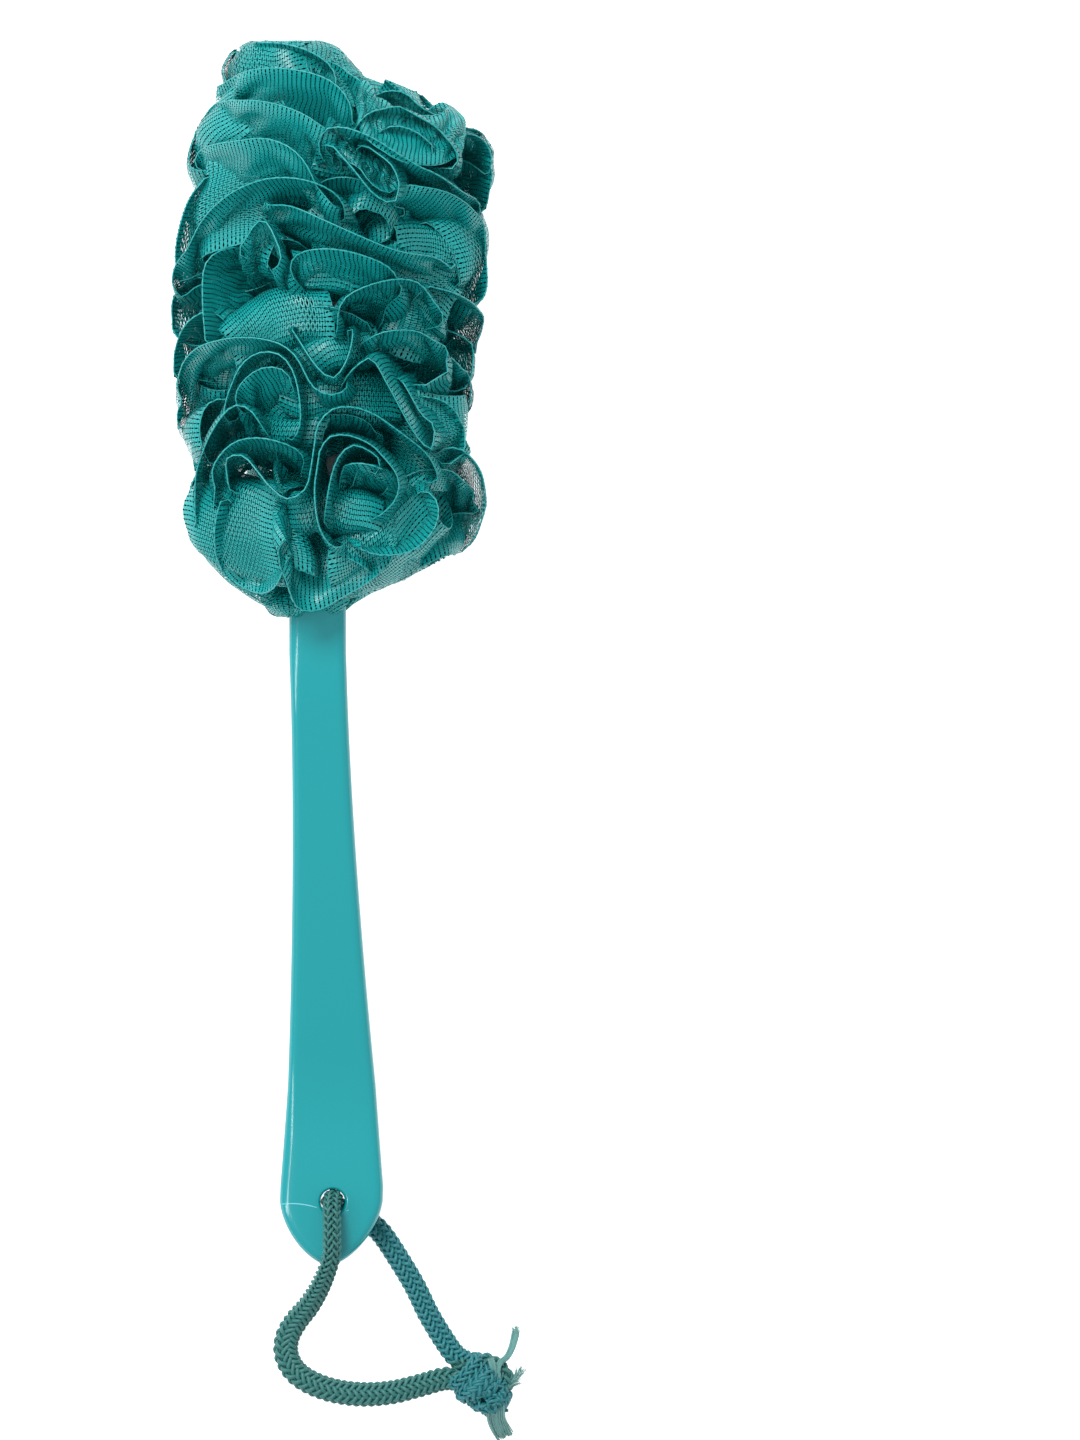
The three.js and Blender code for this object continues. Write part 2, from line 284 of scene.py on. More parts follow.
def make_handle():
    tip = TAIL_TIP_Y + TIP_LENGTH * (1 - np.cos(np.linspace(0.02, np.pi / 2, TIP_RINGS)))
    grip = np.linspace(tip[-1] + 1.2, NECK_END_Y, GRIP_RINGS)
    stem = np.linspace(NECK_END_Y + 1, STEM_END_Y, STEM_RINGS)
    parts = Parts()
    add_rings(parts, np.array([handle_ring(y) for y in np.r_[tip, grip, stem]]))
    handle = parts.build("back_scrubber_handle", PLASTIC)

    # The hole's cutter widens at both faces, which rounds the hole's mouths.
    turns = np.linspace(0, np.pi / 2, 7)
    mouth = np.stack([HOLE_RADIUS + HOLE_ROUNDING * (1 - np.cos(turns)),
                      TAIL_THICKNESS / 2 - HOLE_ROUNDING * (1 - np.sin(turns))], axis=1)
    outer = np.array([[HOLE_RADIUS + HOLE_ROUNDING, TAIL_THICKNESS / 2 + 2]])
    half_profile = np.r_[mouth, outer]
    profile = np.r_[half_profile[::-1] * [1, -1], half_profile]
    around = np.linspace(0, 2 * np.pi, HOLE_SIDES, endpoint=False)
    heights = np.broadcast_to(TAIL_HEIGHT + profile[:, 1:], (len(profile), HOLE_SIDES))
    cutter_parts = Parts()
    add_rings(cutter_parts, np.stack([HOLE_X + profile[:, :1] * np.cos(around),
                                      HOLE_Y + profile[:, :1] * np.sin(around), heights], -1))
    cutter = cutter_parts.build("hole_cutter", PLASTIC)
    cut = handle.modifiers.new("hole", "BOOLEAN")
    cut.operation, cut.object, cut.solver = "DIFFERENCE", cutter, "EXACT"
    whole = bpy.data.meshes.new_from_object(handle.evaluated_get(bpy.context.evaluated_depsgraph_get()))
    handle.modifiers.clear()
    handle.data = whole
    bpy.data.objects.remove(cutter)
    whole.set_sharp_from_angle(angle=SHARP_ANGLE)
    return handle


def face_line(name, points, width, material, lift=0.03):
    """A fine flat line that lies on the handle's front face."""
    line = smooth_line([(x, y, 0) for x, y in points], 0.4)
    line[:, 2] = [face_height(x, y) + lift for x, y in line[:, :2]]
    _, side, up = frames(line, (0, 1.0, 0))
    fade = np.sin(np.linspace(0.15, np.pi - 0.15, len(line))) ** 0.3
    parts = Parts()
    add_tube(parts, line, side, up, width / 2 * fade, lift * 1.5, sides=6)
    return parts.build(name, material)


handle = make_handle()
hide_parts("handle")
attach(handle, "scrubber")
# The fine marks on the front face: name, points across and along, width.
marks = [
    ("weld_line", [(-15.0, -165.6), (-11, -165.5), (-7.5, -165.9), (-4.3, -166.7)], 0.34),
    ("scratch", [(4.4, -167.7), (5.1, -167.4)], 0.26),
]
for name, points, width in marks:
    mark = face_line(name, points, width, PALE_PLASTIC)
    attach(mark, "scrubber")


# ---------------------------------------------------------------- hanging cord

CORD_DIAMETER, CORD_STEP = 6.0, 0.5
STRANDS_EACH_WAY, BRAID_PITCH = 8, 17.0
STRAND_WIDTH, STRAND_HEIGHT, BRAID_LIFT = 1.24, 1.0, 0.6
# Half the braid's width where strands have their full width, the share of it that the core fills (painted dark
# as the shade between the strands), and how far a groove along its top reaches to each side, in radians.
FULL_HALF_WIDTH, CORE_SHARE, GROOVE_REACH = 3.2, 0.66, 0.3
# The braid's half-width and half-height in the hole, and how much they change where it lies free, from the
# knot on, and where the back leg nears the hole.
HOLE_HALF, FREE_WIDER, FREE_TALLER = 2.35, 0.95, 0.25
KNOT_NARROWER, BACK_NARROWER, BACK_FLATTER = 0.2, 0.6, 0.2
LEFT_BEND, LEFT_BEND_REACH, LEFT_BEND_GROOVE, BACK_LEG_GROOVE = 62, 14, 0.24, 0.36
# The bluer back leg lies right of BLUE_LEFT_X, above BLUE_LOWEST_Y and above a line that rises to the right.
BLUE_LEFT_X, BLUE_LOWEST_Y, BLUE_LINE_X, BLUE_LINE_Y, BLUE_LINE_RISE = 2.8, -216, 36, -213, 0.2

FRONT_LEG = [
    (0.5, -163.9, 10.4), (0.5, -163.8, 12.8), (0.4, -164.0, 14.8), (0.1, -165.2, 17.0),
    (0.0, -167.6, 19.6), (0.1, -170.9, 21.0), (0.1, -175.7, 21.8), (0.0, -180.6, 20.6),
    (-1.4, -185.4, 17.6), (-3.8, -190.9, 12.5), (-7.0, -196.2, 7.4), (-10.6, -200.6, 4.0),
    (-13.3, -205.4, 2.8), (-13.8, -210.6, 2.7), (-11.4, -215.6, 2.7), (-6.6, -219.2, 2.7),
    (0.5, -221.8, 2.7), (9.0, -222.9, 2.7), (18.0, -222.3, 2.8), (26.5, -220.2, 3.4),
    (34.8, -218.1, 4.8),
]
INSIDE_KNOT = [(41.5, -219.8, 6.0), (46.6, -222.4, 6.6), (50.4, -221.4, 7.0), (51.0, -217.2, 7.2),
               (47.0, -214.0, 7.0), (42.0, -213.6, 6.0)]
BACK_LEG = [
    (37.6, -211.6, 4.6), (33.4, -206.0, 3.2), (28.9, -198.5, 2.7), (24.9, -190.3, 2.7), (19.6, -181.4, 2.7),
    (15.0, -174.6, 2.7), (11.2, -171.0, 2.7), (7.2, -168.4, 2.7), (3.2, -167.0, 2.9), (0.3, -166.0, 4.0),
    (-0.4, -165.0, 6.2), (0.2, -164.2, 8.8), (0.5, -163.9, 10.3),
]


def braid(parts, line, side, up, half_width, half_height, grooves=None):
    """A tubular braid round a line: flat strands, each two over and two under, round a core painted dark
    as the shade between the strands. grooves is how deep the groove along the braid's top is at each point of
    the line."""
    step = np.linalg.norm(np.diff(line, axis=0), axis=1).mean()
    travelled = np.arange(len(line)) * step
    crossings = 2 * STRANDS_EACH_WAY * travelled / BRAID_PITCH
    top = np.arctan2(up[:, 2], side[:, 2])
    for way in (1, -1):
        for strand in range(STRANDS_EACH_WAY):
            phase = crossings - 0.5 + 2 * strand if way == 1 else 2 * strand - crossings - 0.5
            lift = way * np.cos(2 * np.pi * phase / 4)
            angle = way * 2 * np.pi * travelled / BRAID_PITCH + 2 * np.pi * strand / STRANDS_EACH_WAY
            size = 1 - (STRAND_HEIGHT / 2) / half_width + lift * BRAID_LIFT / half_width
            if grooves is not None:
                off_top = np.abs((angle - top + np.pi) % (2 * np.pi) - np.pi)
                size = size * (1 - grooves * np.exp(-((off_top / GROOVE_REACH) ** 2)))
            outward = unit(side * np.cos(angle)[:, None] / half_width[:, None]
                           + up * np.sin(angle)[:, None] / half_height[:, None])
            path = (line + side * (half_width * size * np.cos(angle))[:, None]
                    + up * (half_height * size * np.sin(angle))[:, None])
            across = unit(np.cross(unit(np.gradient(path, axis=0)), outward))
            strand_half = STRAND_WIDTH / 2 * half_width / FULL_HALF_WIDTH
            add_tube(parts, path, across, outward, strand_half, STRAND_HEIGHT / 2, sides=8)
    # The core is painted dark as the shade seen in the gaps between the strands.
    add_tube(parts, line, side, up, half_width * CORE_SHARE, half_height * CORE_SHARE, sides=12, slot=1)


def make_cord():
    line = smooth_line(FRONT_LEG + INSIDE_KNOT + BACK_LEG, CORD_STEP)
    _, side, up = frames(line, (1.0, 0, 0))
    travelled = np.arange(len(line)) * CORD_STEP
    total = travelled[-1]
    free = ramp(travelled, 22, 60)
    near_back = ramp(travelled, total - 22, total - 8)
    half_width = HOLE_HALF + FREE_WIDER * free - KNOT_NARROWER * ramp(travelled, 88, 112)
    half_width = half_width - BACK_NARROWER * near_back
    half_height = HOLE_HALF + FREE_TALLER * free - BACK_FLATTER * near_back
    left_bend = np.exp(-(((travelled - LEFT_BEND) / LEFT_BEND_REACH) ** 2))
    back_leg = ramp(travelled, total - 68, total - 58) * (1 - ramp(travelled, total - 20, total - 12))
    grooves = LEFT_BEND_GROOVE * left_bend + BACK_LEG_GROOVE * back_leg
    parts = Parts()
    braid(parts, line, side, up, half_width, half_height, grooves)
    cord = parts.build("hanging_cord_braid", BRAID, BRAID_PAINTED_SHADE, BRAID_BLUE)
    # The back leg is bluer.
    middles = np.zeros(len(cord.data.polygons) * 3, np.float32)
    cord.data.polygons.foreach_get("center", middles)
    x, y, _ = middles.reshape(-1, 3).T / MM
    blue_line = BLUE_LINE_Y + (x - BLUE_LINE_X) * BLUE_LINE_RISE
    in_back_leg = (x > BLUE_LEFT_X) & (y > blue_line) & (y > BLUE_LOWEST_Y)
    slots = np.zeros(len(x), np.int32)
    cord.data.polygons.foreach_get("material_index", slots)
    slots = np.where(in_back_leg & (slots == 0), 2, slots)
    cord.data.polygons.foreach_set("material_index", slots.astype(np.int32))
    return cord, line


cord, cord_line = make_cord()

# The knot's own directions: its long way points down and to the right.
KNOT_MIDDLE = np.array([45.2, -220.7, 7.2])
KNOT_LONG = np.array([math.cos(-math.pi / 4), math.sin(-math.pi / 4), 0])
KNOT_SIDE = np.array([-KNOT_LONG[1], KNOT_LONG[0], 0])
KNOT_UP = np.array([0, 0, 1.0])
KNOT_HALF_LENGTH, KNOT_HALF_WIDTH, KNOT_HALF_HEIGHT, KNOT_FLATNESS = 9.2, 5.6, 4.9, 0.86
CORE_HALF_LENGTH, CORE_HALF_WIDTH, CORE_HALF_HEIGHT = 8.4, 4.8, 4.2
# The braid's turns round the knot: start angle, turns, start and end along the knot, slant, radius, and the
# braid's half-width and half-height.
KNOT_WRAPS = [
    (200, 1.15, -6.8, -5.8, 0.6, 4.8, 2.4, 1.8),
    (60, 1.2, -2.6, -1.8, 0.9, 5.7, 2.6, 1.9),
]
LOOSE_LOOPS, YARN_HALF_WIDTH, YARN_HALF_HEIGHT = 150, 0.48, 0.4


def knot_point(long, side, up):
    return KNOT_MIDDLE + long * KNOT_LONG + side * KNOT_SIDE + up * KNOT_UP


def add_wrap(parts, turn_start, turns, long_start, long_end, slant, radius, half_width, half_height):
    """One flattened turn of the braid round the knot's long way."""
    angle = np.radians(turn_start) + np.linspace(0, turns * 2 * np.pi, 40)
    long = np.linspace(long_start, long_end, len(angle)) + slant * np.sin(angle)
    points = [knot_point(place, radius * math.cos(a), radius * KNOT_FLATNESS * math.sin(a))
              for place, a in zip(long, angle)]
    line = smooth_line(points, CORD_STEP)
    tangent = unit(np.gradient(line, axis=0))
    off_axis = line - KNOT_MIDDLE
    outward = unit(off_axis - (off_axis @ KNOT_LONG)[:, None] * KNOT_LONG)
    side = unit(np.cross(outward, tangent))
    up = np.cross(tangent, side)
    braid(parts, line, side, up, np.full(len(line), half_width), np.full(len(line), half_height))


def lump_point(long, turn, lift):
    """A point lift above the knot's surface, at a place along it and a turn round it."""
    thin = math.sqrt(max(0.0, 1 - (long / KNOT_HALF_LENGTH) ** 2))
    return knot_point(long, (KNOT_HALF_WIDTH * thin + lift) * math.cos(turn),
                      (KNOT_HALF_HEIGHT * thin + lift) * math.sin(turn))


def add_loose_loop(parts):
    """A short loop of yarn that stands out of the knot's untidy end."""
    long, turn = rng.uniform(0.6, 8.4), math.radians(rng.uniform(-25, 205))
    way, reach, height = rng.uniform(0, 2 * np.pi), rng.uniform(1.0, 2.6), rng.uniform(0.8, 2.2)
    points = []
    for step in np.linspace(-1, 1, 7):
        bent = way + 0.7 * step
        points.append(lump_point(long + step * reach * math.cos(bent),
                                 turn + step * reach * math.sin(bent) / 4.5, height * (1 - step**2) - 0.6))
    line = smooth_line(points, 0.3)
    _, side, up = frames(line, unit(np.cross([0.3, 0.2, 1.0], line[1] - line[0])))
    add_tube(parts, line, side, up, YARN_HALF_WIDTH, YARN_HALF_HEIGHT, sides=6)


def make_knot():
    parts = Parts()
    for wrap in KNOT_WRAPS:
        add_wrap(parts, *wrap)
    for _ in range(LOOSE_LOOPS):
        add_loose_loop(parts)
    # An egg inside, painted dark as the shade between the wraps and loops, so that no light comes through.
    rings, sides = 13, 24
    angle, rise = np.meshgrid(np.linspace(0, 2 * np.pi, sides, endpoint=False),
                              np.linspace(-np.pi / 2, np.pi / 2, rings))
    egg = np.stack([CORE_HALF_LENGTH * np.sin(rise), CORE_HALF_WIDTH * np.cos(rise) * np.cos(angle),
                    CORE_HALF_HEIGHT * np.cos(rise) * np.sin(angle)], -1)
    points = np.array([knot_point(*place) for place in egg.reshape(-1, 3)])
    parts.add(points, ring_faces(rings, sides), slot=1)
    return parts.build("cord_knot_wraps", BRAID_BLUE, BRAID_PAINTED_SHADE)


# The frayed bundles: end, path, how many fibres, the bundle's half-width and half-height at its start and at
# its end, the fibres' radius, and how far they stray and wave. One end has a broad tail and two fans, the
# other a thin waving tuft and a short one.
FRAYED = [
    ("lower", [(49.2, -223.0, 9.8), (49.2, -226.8, 9.2), (49.4, -230.2, 6.6), (50.6, -233.4, 4.2),
               (52.4, -236.3, 2.4)], 320, (2.7, 1.2), (2.5, 0.8), 0.16, 0.15, 0.25),
    ("lower", [(52.6, -221.0, 9.0), (54.8, -218.6, 8.6), (56.2, -216.4, 8.0), (57.4, -214.0, 7.4)],
     36, (0.4, 0.4), (1.3, 0.8), 0.08, 0.6, 0.3),
    ("lower", [(53.0, -221.0, 8.8), (55.6, -219.9, 8.0), (57.9, -219.4, 7.2)],
     12, (0.3, 0.3), (0.9, 0.6), 0.07, 0.5, 0.3),
    ("upper", [(50.2, -218.4, 10.4), (49.9, -215.4, 11.0), (50.6, -213.2, 10.2), (52.5, -211.7, 9.0),
               (53.9, -209.2, 7.4), (54.8, -206.2, 5.6), (55.2, -203.8, 4.2), (54.7, -202.0, 3.2)],
     80, (0.65, 0.4), (0.95, 0.4), 0.13, 0.05, 0.2),
    ("upper", [(49.2, -218.4, 10.2), (48.5, -214.8, 11.4), (47.6, -211.4, 11.0)],
     60, (0.6, 0.4), (0.9, 0.5), 0.12, 0.1, 0.2),
]
FIBRE_STEP, FIBRE_FLOOR, SHORTEST_FIBRE = 0.7, 0.3, 0.72


def add_fibres(parts, path, count, size_start, size_end, radius, stray, curl):
    """One bundle of fine fibres along a path."""
    path = smooth_line(path, FIBRE_STEP)
    _, side, up = frames(path, unit(np.cross([0, 0, 1.0], np.gradient(path, axis=0)[0])))
    t = np.linspace(0, 1, len(path))
    wide = size_start[0] + (size_end[0] - size_start[0]) * t
    tall = size_start[1] + (size_end[1] - size_start[1]) * t
    for _ in range(count):
        across, height = rng.uniform(-1, 1), rng.uniform(-1, 1)
        wave = curl * t * np.sin(t * rng.uniform(2, 7) + rng.uniform(0, 6.3))
        drift = stray * t**2 * rng.normal()
        end = max(4, int(len(path) * rng.uniform(SHORTEST_FIBRE, 1.0)))
        line = (path + side * (across * wide + wave + drift)[:, None] + up * (height * tall)[:, None])[:end]
        line[:, 2] = np.maximum(line[:, 2], FIBRE_FLOOR)
        add_tube(parts, line, side[:end], up[:end], radius, radius, sides=4)


knot = make_knot()
frayed = {"lower": Parts(), "upper": Parts()}
for end, *bundle in FRAYED:
    add_fibres(frayed[end], *bundle)
frayed_lower = frayed["lower"].build("frayed_end_lower", FIBRE)
frayed_upper = frayed["upper"].build("frayed_end_upper", FIBRE)

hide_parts("cord_front_leg", "cord_back_leg")
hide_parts("cord_knot")
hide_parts("cord_end_lower")
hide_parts("cord_end_upper")
for piece in (cord, knot, frayed_lower, frayed_upper):
    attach(piece, "hanging_cord")
cord_length = line_length(cord_line) * MM

# ---------------------------------------------------------------- netting

FLOWER_MIDDLES = {"bottom": 33.7, "lower": 78.3, "upper": 120.3, "top": 162.4}
# The puff's outline: place along the handle, left side, right side.
PUFF_OUTLINE = np.array([
    (9, -12, -5), (14, -18, 2), (18, -25, 9), (22, -31, 20), (28, -37, 34), (33, -42, 42.5),
    (44, -46.5, 46.5), (56, -46.5, 46.5), (63, -46, 42.5), (72, -46, 41.5), (82, -47.5, 42.5),
    (92, -47.5, 43), (100, -47.5, 46), (112, -48.4, 47), (126, -46.5, 47), (138, -45, 47.5),
    (150, -42.5, 48.4), (157, -40, 45), (163, -36.5, 37), (169, -34, 26), (175, -33, 10), (181, -28, 2),
    (184, -22, -6)])
# The puff is a little lower than it is wide, and rounder towards its narrow ends.
HEIGHT_SHARE, NARROW_EXTRA, WIDEST_HALF = 0.89, 20, 50
# A petal is one loop of the flattened tube: a grid of stations along it by points across it. The first and
# last END_STATIONS run down to its tie, where it keeps TIE_SHARE of its width.
STATIONS, ACROSS, END_STATIONS = 31, 9, 6
RIBBON_WIDTH, LOOP_LENGTH, BACKING_WIDTH, TIE_SHARE = 34.0, 101.0, 36, 0.12
# The plain petals of a flower: how many, the angle from one to the next, the share that stand on edge, and
# the size of those that face forward, and the share of these that are left out.
PLAIN_PETALS, GOLDEN_ANGLE, STANDING_SHARE, FRONT_SIZE, FRONT_SKIP = 17, 137.508, 0.6, 0.64, 0.15
# How the petals grow: steps, the share of them spent growing, and how far apart the netting stays.
GROW_STEPS, GROWING_SHARE, SHEET_GAP = 130, 0.7, 2.3
# What holds the netting out against bending, along and across: how many points apart, the share of the full
# distance that it keeps them, and how strongly.
STIFF_ALONG = ((2, 0.98, 0.3), (5, 0.88, 0.15), (10, 0.5, 0.1))
STIFF_ACROSS = ((2, 0.98, 0.4), (4, 0.95, 0.2), (8, 0.88, 0.1))

# Petals at the front: net length, lean of the ribbon's width from straight back, its width, and the points of
# its nearer fold as across, along and how deep behind the puff's front.
FRONT_PETALS = [
    ("top", (3, -9), 28, [(-30, 168, 18), (-32.6, 174, 12), (-31, 179.6, 8), (-24, 182.6, 6),
     (-14, 182.6, 5), (-5, 179.6, 4), (0.6, 174.6, 6), (2, 168, 12)]),
    ("top", (-1, -21), 27, [(-33, 168, 16), (-28, 172.4, 7), (-20, 175, 3), (-9.5, 174.4, 1), (0, 171.6, 1),
     (6, 164, 5), (8, 156, 12)]),
    ("top", (-2, -19), 25, [(-38, 158, 15), (-34, 163.6, 7), (-24, 165, 2), (-14, 163.4, 0), (-5, 159.6, 1),
     (1, 153.5, 7)]),
    ("top", (5, -18), 24, [(-38, 143.5, 15), (-39.6, 148.6, 9), (-35, 151.8, 4), (-27, 152.8, 1),
     (-19, 154.4, 0), (-11, 150.5, 1), (-4, 141, 4), (1, 131, 9)]),
    ("top", (-6, -17), 26, [(-8, 176, 16), (0, 177, 10), (7, 172, 8), (12, 166, 9), (13, 159, 14)]),
    ("upper", (5, -10), 27, [(-46, 108, 14), (-46, 113, 10), (-43, 121, 6), (-37.5, 130, 3), (-29, 138, 1),
     (-19, 142.3, 0), (-8, 142, 0), (1, 138, 3), (5, 131, 9)]),
    ("upper", (-3, -9), 26, [(-20, 134, 8), (-12, 133.5, 3), (-3, 129.6, 1), (8.5, 124.4, 0),
     (19.5, 119.8, 1), (30, 118, 4), (37, 115, 9)]),
    ("top", (-3, -6), 30, [(-3, 147, 9), (-2.5, 155.5, 3), (1, 157.8, 1), (7, 156.6, 0), (14, 153.2, 0),
     (22, 147.4, 0), (31, 143.2, 1), (39, 138.6, 3), (44, 131, 8)]),
    ("upper", (2, 3), 27, [(-1, 153, 5), (2, 149.5, 2), (7.5, 143.6, 0), (12.5, 137, 0), (17.8, 134.4, 0),
     (20.8, 137.6, 0), (18.8, 144.6, 1), (14, 150, 3), (9, 152.2, 8)]),
    ("top", (0, -4), 27, [(6, 152, 9), (7.5, 157.4, 3), (11, 161.4, 1), (18, 162.8, 0), (27, 160.4, 0),
     (34.5, 154.8, 0), (38.5, 149.4, 1), (36.5, 145.4, 3), (30, 144.6, 8)]),
    ("top", (0, -3), 24, [(14, 153.5, 8), (16, 157, 4), (21, 157.4, 2), (27, 154.6, 2), (31, 150.6, 3),
     (29, 148.6, 7)]),
    ("top", (0, -9), 26, [(8, 160, 14), (11, 165, 9), (16, 168, 7), (22, 167, 7), (27, 163, 8),
     (33, 160, 10), (41, 156.5, 10), (47.5, 152, 10), (47.5, 144, 12)]),
    ("upper", (-14, -14), 30, [(17, 138, 9), (27, 139.5, 3), (36, 137.5, 2), (43, 132, 3), (46.6, 123, 5),
     (46.4, 112, 9), (43, 104, 14)]),
    ("top", (-15, 3), 27, [(30, 158, 12), (38, 157, 8), (45, 154, 7), (48.2, 148, 8), (47.6, 140, 10),
     (46, 132, 14)]),
    ("lower", (-14, 4), 27, [(28, 109, 8), (36, 108, 4), (43, 104, 5), (46, 98, 8), (44, 91, 13)]),
    ("upper", (16, 3), 27, [(-36, 143, 10), (-42, 137, 6), (-45, 129, 6), (-46.6, 120, 9), (-46, 111, 14)]),
    ("lower", (15, 2), 26, [(-36, 103, 9), (-43, 99, 7), (-46.6, 91, 9), (-47, 82, 12)]),
    ("lower", (3, -15), 30, [(-12, 113, 9), (-11, 118.6, 3), (-6, 120.8, 0), (2.5, 120.6, 0),
     (11.5, 118, 0), (18.5, 113.4, 2), (22, 107, 8)]),
    ("lower", (0, -6), 28, [(3, 96, 8), (1.6, 102.6, 2), (4.2, 106.8, 0), (11, 109.8, 0), (19, 111.8, 0),
     (26.5, 110.6, 1), (31, 104.6, 3), (33, 98, 8)]),
    ("upper", (15, -4), 28, [(-33, 121, 10), (-38, 116.4, 4), (-38.4, 108, 3), (-38, 98, 4),
     (-36.5, 90, 8)]),
    ("upper", (4, -10), 22, [(-27, 118, 8), (-24.5, 125.4, 3), (-20, 130.2, 1), (-16.8, 124, 1),
     (-14.6, 118, 2), (-17, 113, 8)]),
    ("lower", (5, -9), 27, [(-46, 70, 16), (-45.5, 80, 9), (-41, 90, 5), (-31.5, 94, 2), (-22, 94.4, 0),
     (-14.4, 93, 0), (-9.6, 88.6, 0), (-7, 81, 1), (-2.6, 77, 1), (2.6, 77.2, 1), (6, 80.6, 6)]),
    ("lower", (2, -4), 28, [(-31.5, 69, 9), (-30, 79.6, 3), (-26, 87, 1), (-20.4, 90.4, 0),
     (-14.6, 89.4, 0), (-11, 84.4, 0), (-9.2, 76, 1), (-9, 68, 3), (-12, 62, 9)]),
    ("lower", (8, -14), 28, [(-27, 71, 9), (-27.4, 78.6, 3), (-23, 84.4, 0), (-17.4, 86, 0), (-12.6, 83, 2),
     (-10, 77, 9)]),
    ("bottom", (5, -3), 30, [(-40, 33, 13), (-41, 43, 6), (-40, 55, 3), (-37, 65.4, 1), (-31.6, 72.6, 0),
     (-26, 74.6, 0), (-21.6, 70, 2), (-19, 64, 9)]),
    ("bottom", (5, -8), 28, [(-35, 44, 10), (-35, 55, 3), (-30.4, 62.4, 0), (-23, 64.6, 0), (-16, 63.4, 1),
     (-10, 60.6, 4), (-7, 57, 10)]),
    ("bottom", (1, -2), 30, [(-31, 50, 9), (-30, 58.6, 2), (-26, 59.2, 0), (-21.6, 53.6, 0), (-17, 48, 0),
     (-11.6, 45.6, 0), (-7, 49.4, 0), (-4.6, 57.6, 0), (-4.4, 67, 0), (-1.4, 72.4, 0), (5, 74, 0),
     (12.4, 72, 0), (19, 67, 1), (27, 60.6, 3), (32, 54, 9)]),
    ("bottom", (3, 0), 30, [(3.4, 31, 7), (-1.6, 33, 2), (-4.4, 38.6, 0), (-5, 48, 0), (-4.2, 59.6, 0),
     (-1, 64.4, 0), (4, 65.2, 0), (10, 63, 0), (16, 58, 0), (20.6, 51.6, 1), (20, 46.6, 3), (15, 40, 8)]),
    ("bottom", (4, -3), 28, [(-1.4, 38, 8), (-1.2, 46, 3), (1.4, 57, 1), (5.4, 62, 0), (10.6, 61.4, 1),
     (14.6, 57.2, 2), (14, 53.6, 4), (8, 55.6, 7)]),
    ("bottom", (11, -10), 28, [(3, 54, 9), (4.4, 56.4, 4), (10, 56.4, 1), (16.4, 54.6, 2), (20, 51.4, 9)]),
    ("bottom", (-9, 8), 26, [(8, 33, 10), (9.4, 30.4, 4), (17, 28.8, 2), (25, 30.6, 2), (31, 36.6, 3),
     (32.4, 43, 5), (28, 49, 10)]),
    ("lower", (5, 2), 28, [(3, 77, 8), (4.6, 83, 3), (9, 87, 0), (12.6, 88.4, 0), (16.4, 81.6, 0),
     (21, 73.6, 0), (25, 66.6, 0), (28.4, 61.6, 1), (31.4, 64, 2), (28.4, 69.6, 3), (23.6, 76.6, 5),
     (21.6, 82, 9)]),
    ("lower", (0, -8), 26, [(10, 91, 9), (13, 95.6, 3), (21, 96.6, 1), (28.6, 95, 2), (34, 90, 3),
     (34.4, 84, 5), (28, 80, 8)]),
    ("lower", (0, -3), 26, [(-12, 98, 8), (-9, 92.4, 3), (-4, 85, 1), (0.6, 81.6, 0), (4, 85.6, 1),
     (6, 91, 2), (6.6, 97.6, 7)]),
    ("lower", (-10, -3), 26, [(30, 92, 10), (36, 88, 5), (41, 82.6, 6), (42.4, 76, 8), (39, 70, 11)]),
    ("lower", (-12, -1), 26, [(30, 77, 8), (36.4, 73.6, 3), (40, 66.4, 4), (39, 59.6, 7), (34, 55, 11)]),
    ("bottom", (-11, 0), 27, [(33, 61, 9), (38, 61.6, 5), (44, 56, 5), (46.4, 48, 7), (45, 38, 10),
     (40, 31, 14)]),
    ("bottom", (-1, 26), 27.5, [(-15.5, 34, 6), (-13.6, 22, 3), (-9, 11.2, 1), (2, 15.6, 0), (14, 23.5, 2),
     (19, 30, 7)]),
    ("bottom", (2, 24), 27, [(-37, 34, 12), (-33, 24.5, 6), (-25.5, 19, 3), (-18.5, 17.4, 2),
     (-14.6, 22.5, 4), (-13.5, 30, 9)]),
    ("bottom", (-3, 20), 26, [(4, 29, 9), (12.5, 23.6, 4), (17.6, 20.5, 2), (24, 23.5, 2), (33, 28.5, 4),
     (40, 31, 9)]),
    ("top", (1, 15), 19, [(8.5, 157, 6), (12, 151.5, 3), (19, 147.3, 2), (27, 145.4, 2), (34, 146.5, 3),
     (38.5, 150, 7)]),
    ("upper", (-4, 11), 16, [(3, 150, 7), (8, 144, 4), (13, 138.6, 3), (18, 137, 3), (20.5, 140, 7)]),
    ("upper", (0, -13), 26, [(-5, 140, 15), (4, 142.5, 11), (13, 139.5, 11), (23, 132, 14)]),
    ("lower", (0, -13), 26, [(-11, 101, 15), (-2, 103.5, 11), (6, 101.5, 11), (13, 96, 15)]),
    ("lower", (0, -10), 26, [(-6, 68, 14), (1, 72, 11), (9, 70, 11), (15, 64, 15)]),
    ("bottom", (-6, -9), 28, [(20, 50, 17), (29, 56, 13), (38, 53, 14), (44, 43, 19)]),
    ("bottom", (15, 3), 28, [(-33, 47, 8), (-35, 38, 4), (-34, 28, 6), (-29, 20.6, 9), (-22, 17, 13)]),
]


def puff_outline(y):
    left = np.interp(y, PUFF_OUTLINE[:, 0], PUFF_OUTLINE[:, 1])
    right = np.interp(y, PUFF_OUTLINE[:, 0], PUFF_OUTLINE[:, 2])
    return (left + right) / 2, (right - left) / 2


def puff_depth(half):
    return np.minimum(HEIGHT_SHARE * (half + NARROW_EXTRA * (1 - half / WIDEST_HALF)), STEM_HEIGHT - 0.7)


